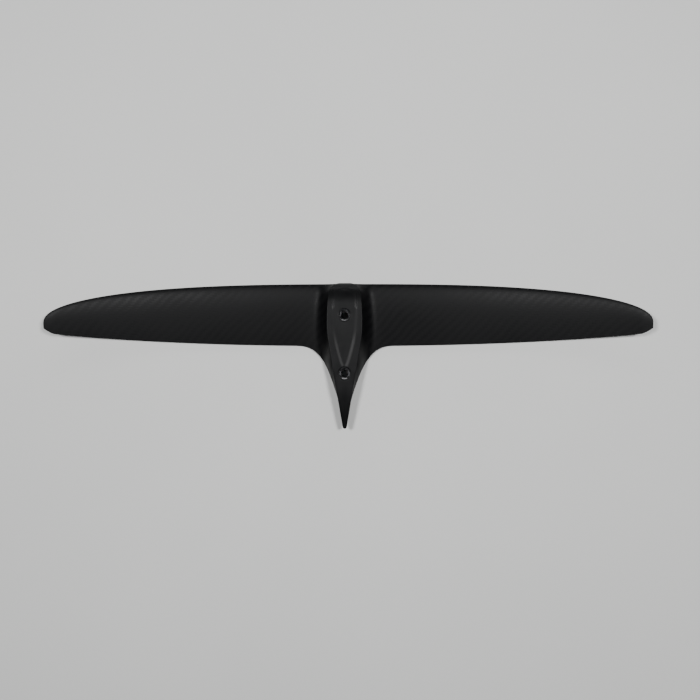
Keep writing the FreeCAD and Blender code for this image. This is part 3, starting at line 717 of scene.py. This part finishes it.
def anodised(name):
    """Dark grey anodised turning: fine tool rings round the axis show as a slight bump."""
    material = bpy.data.materials.new(name)
    material.use_nodes = True
    add, link, maths = node_maker(material)
    shader = material.node_tree.nodes["Principled BSDF"]
    axes = add("ShaderNodeSeparateXYZ")
    link(add("ShaderNodeTexCoord").outputs["Object"], axes.inputs[0])
    rings = maths("SINE", maths("MULTIPLY", axes.outputs["Z"], TOOL_RINGS))
    shade = add("ShaderNodeTexNoise")
    shade.inputs["Scale"].default_value = 700.0
    colour = add("ShaderNodeMix", data_type="RGBA")
    colour.inputs["A"].default_value = (*ANODISED_DARK, 1)
    colour.inputs["B"].default_value = (*ANODISED_LIGHT, 1)
    link(shade.outputs["Fac"], colour.inputs["Factor"])
    link(colour.outputs["Result"], shader.inputs["Base Color"])
    shader.inputs["Metallic"].default_value = 1.0
    shader.inputs["Roughness"].default_value = 0.24
    bump = add("ShaderNodeBump")
    bump.inputs["Strength"].default_value = 0.1
    bump.inputs["Distance"].default_value = RING_HEIGHT
    link(rings, bump.inputs["Height"])
    link(bump.outputs[0], shader.inputs["Normal"])
    return material


bush_finish = anodised("grey_anodised")
for end in ("front", "rear"):
    low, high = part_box(end + "_screw_bush")
    points, quads = turned(bush_profile(), (low[1] + high[1]) / 2)
    bush = new_piece(end + "_bush", points, quads, crease_degrees=25.0)
    bush.data.materials.append(bush_finish)
    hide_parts(end + "_screw_bush")

# ---------------------------------------------------------------------------
# Pieces inside the wing: dense root block, bonding resin, foam, unidirectional
# carbon spar and edge strip. They are sealed between the skins, and only the
# root blocks show, as the wall of the slot.


def grained(name, dark, light, scale, stretch, roughness, bump_height):
    """Noise between two colours, stretched along the grain, with a bump from the same."""
    material = bpy.data.materials.new(name)
    material.use_nodes = True
    add, link, _ = node_maker(material)
    shader = material.node_tree.nodes["Principled BSDF"]
    squeeze = add("ShaderNodeMapping")
    squeeze.inputs["Scale"].default_value = stretch
    link(add("ShaderNodeTexCoord").outputs["Object"], squeeze.inputs["Vector"])
    noise = add("ShaderNodeTexNoise")
    noise.inputs["Scale"].default_value = scale
    noise.inputs["Detail"].default_value = 5.0
    link(squeeze.outputs[0], noise.inputs["Vector"])
    colour = add("ShaderNodeMix", data_type="RGBA")
    colour.inputs["A"].default_value = (*dark, 1)
    colour.inputs["B"].default_value = (*light, 1)
    link(noise.outputs["Fac"], colour.inputs["Factor"])
    link(colour.outputs["Result"], shader.inputs["Base Color"])
    shader.inputs["Roughness"].default_value = roughness
    bump = add("ShaderNodeBump")
    bump.inputs["Strength"].default_value = 0.4
    bump.inputs["Distance"].default_value = bump_height
    link(noise.outputs["Fac"], bump.inputs["Height"])
    link(bump.outputs[0], shader.inputs["Normal"])
    return material


inner_finishes = {
    "root_block": grained("dense_filler", (0.010, 0.010, 0.011), (0.024, 0.024, 0.026),
                          300.0, (1, 1, 1), 0.55, 0.0001),
    "leading_edge_bead": grained("bonding_resin", (0.03, 0.03, 0.032), (0.08, 0.08, 0.083),
                                 200.0, (1, 1, 1), 0.35, 0.0001),
    "front_foam_core": grained("rigid_foam", (0.60, 0.50, 0.30), (0.80, 0.70, 0.48),
                               900.0, (1, 1, 1), 0.85, 0.0003),
    "main_spar": grained("spar_carbon", (0.008, 0.008, 0.009), (0.03, 0.03, 0.032),
                         1.0, (60.0, 1800.0, 1800.0), 0.40, 0.00005),
}
inner_finishes["rear_foam_core"] = inner_finishes["front_foam_core"]
inner_finishes["trailing_edge_strip"] = inner_finishes["main_spar"]
inner_finishes["tip_filler"] = inner_finishes["leading_edge_bead"]

for side in ("starboard", "port"):
    for piece_name, finish in inner_finishes.items():
        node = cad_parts[side + "_" + piece_name]
        for slot in node.material_slots:
            slot.material = finish

# ---------------------------------------------------------------------------
# Floor, light and camera. A pale painted floor with a faint tooth, two small
# soft lamps high on either side and a long low one in front, and a camera that
# looks almost straight down.

FLOOR_GAP, FLOOR_HALF = 0.0002, 3.0
FLOOR_Z = cad_box[0][2] - FLOOR_GAP


def painted_floor():
    """Plain pale grey with a fine tooth and slow, faint clouds."""
    material = bpy.data.materials.new("pale_floor")
    material.use_nodes = True
    add, link, maths = node_maker(material)
    shader = material.node_tree.nodes["Principled BSDF"]
    place_in = add("ShaderNodeTexCoord").outputs["Object"]
    cloud = add("ShaderNodeTexNoise")
    cloud.inputs["Scale"].default_value = 2.2
    cloud.inputs["Detail"].default_value = 6.0
    link(place_in, cloud.inputs["Vector"])
    tooth = add("ShaderNodeTexNoise")
    tooth.inputs["Scale"].default_value = 420.0
    tooth.inputs["Detail"].default_value = 2.0
    link(place_in, tooth.inputs["Vector"])
    mix = maths("ADD", maths("MULTIPLY", cloud.outputs["Fac"], 0.7),
                maths("MULTIPLY", tooth.outputs["Fac"], 0.3))
    colour = add("ShaderNodeMix", data_type="RGBA")
    colour.inputs["A"].default_value = (0.50, 0.505, 0.50, 1)
    colour.inputs["B"].default_value = (0.60, 0.60, 0.59, 1)
    link(mix, colour.inputs["Factor"])
    link(colour.outputs["Result"], shader.inputs["Base Color"])
    shader.inputs["Roughness"].default_value = 0.7
    bump = add("ShaderNodeBump")
    bump.inputs["Strength"].default_value = 0.25
    bump.inputs["Distance"].default_value = 0.0002
    link(tooth.outputs["Fac"], bump.inputs["Height"])
    link(bump.outputs[0], shader.inputs["Normal"])
    return material


floor_corner = np.array([(-1, -1), (1, -1), (1, 1), (-1, 1)]) * FLOOR_HALF
floor_mesh = bpy.data.meshes.new("floor")
floor_mesh.from_pydata([(x, y, FLOOR_Z) for x, y in floor_corner.tolist()], [], [(0, 1, 2, 3)])
floor = bpy.data.objects.new("floor", floor_mesh)
bpy.context.scene.collection.objects.link(floor)
floor_mesh.materials.append(painted_floor())


def soft_lamp(name, position, width, length, watts):
    """Rectangular lamp that faces the origin."""
    lamp = bpy.data.lights.new(name, "AREA")
    lamp.shape = "RECTANGLE"
    lamp.size, lamp.size_y = width, length
    lamp.energy = watts
    holder = bpy.data.objects.new(name, lamp)
    holder.location = position
    holder.rotation_euler = (-Vector(position)).to_track_quat("-Z", "Y").to_euler()
    bpy.context.scene.collection.objects.link(holder)
    return holder


soft_lamp("lamp_left", (-0.86, 0.26, 2.0), 0.38, 0.38, 40.0)
soft_lamp("lamp_right", (0.86, 0.26, 2.0), 0.38, 0.38, 43.0)
soft_lamp("lamp_front", (0.0, 1.60, 0.42), 1.8, 0.40, 9.0)

world = bpy.data.worlds.new("dim_room")
bpy.context.scene.world = world
world.use_nodes = True
world.node_tree.nodes["Background"].inputs["Color"].default_value = (0.75, 0.86, 1.0, 1)
world.node_tree.nodes["Background"].inputs["Strength"].default_value = 0.03

VIEW_HEIGHT = 1.016                     # camera above the wing; lens and sensor are equal
VIEW_TILT = math.radians(1.63)          # the camera leans a little sideways
VIEW_X, VIEW_BACK = 0.0076, 0.0965      # point on the wing under the middle of the view
view = bpy.data.cameras.new("view")
view.sensor_width = 36.0
view.lens = 36.0
camera = bpy.data.objects.new("view", view)
camera.location = (VIEW_X + VIEW_HEIGHT * math.tan(VIEW_TILT), LEADING_Y - VIEW_BACK, VIEW_HEIGHT)
camera.rotation_euler = (0.0, VIEW_TILT, 0.0)
bpy.context.scene.collection.objects.link(camera)
bpy.context.scene.camera = camera
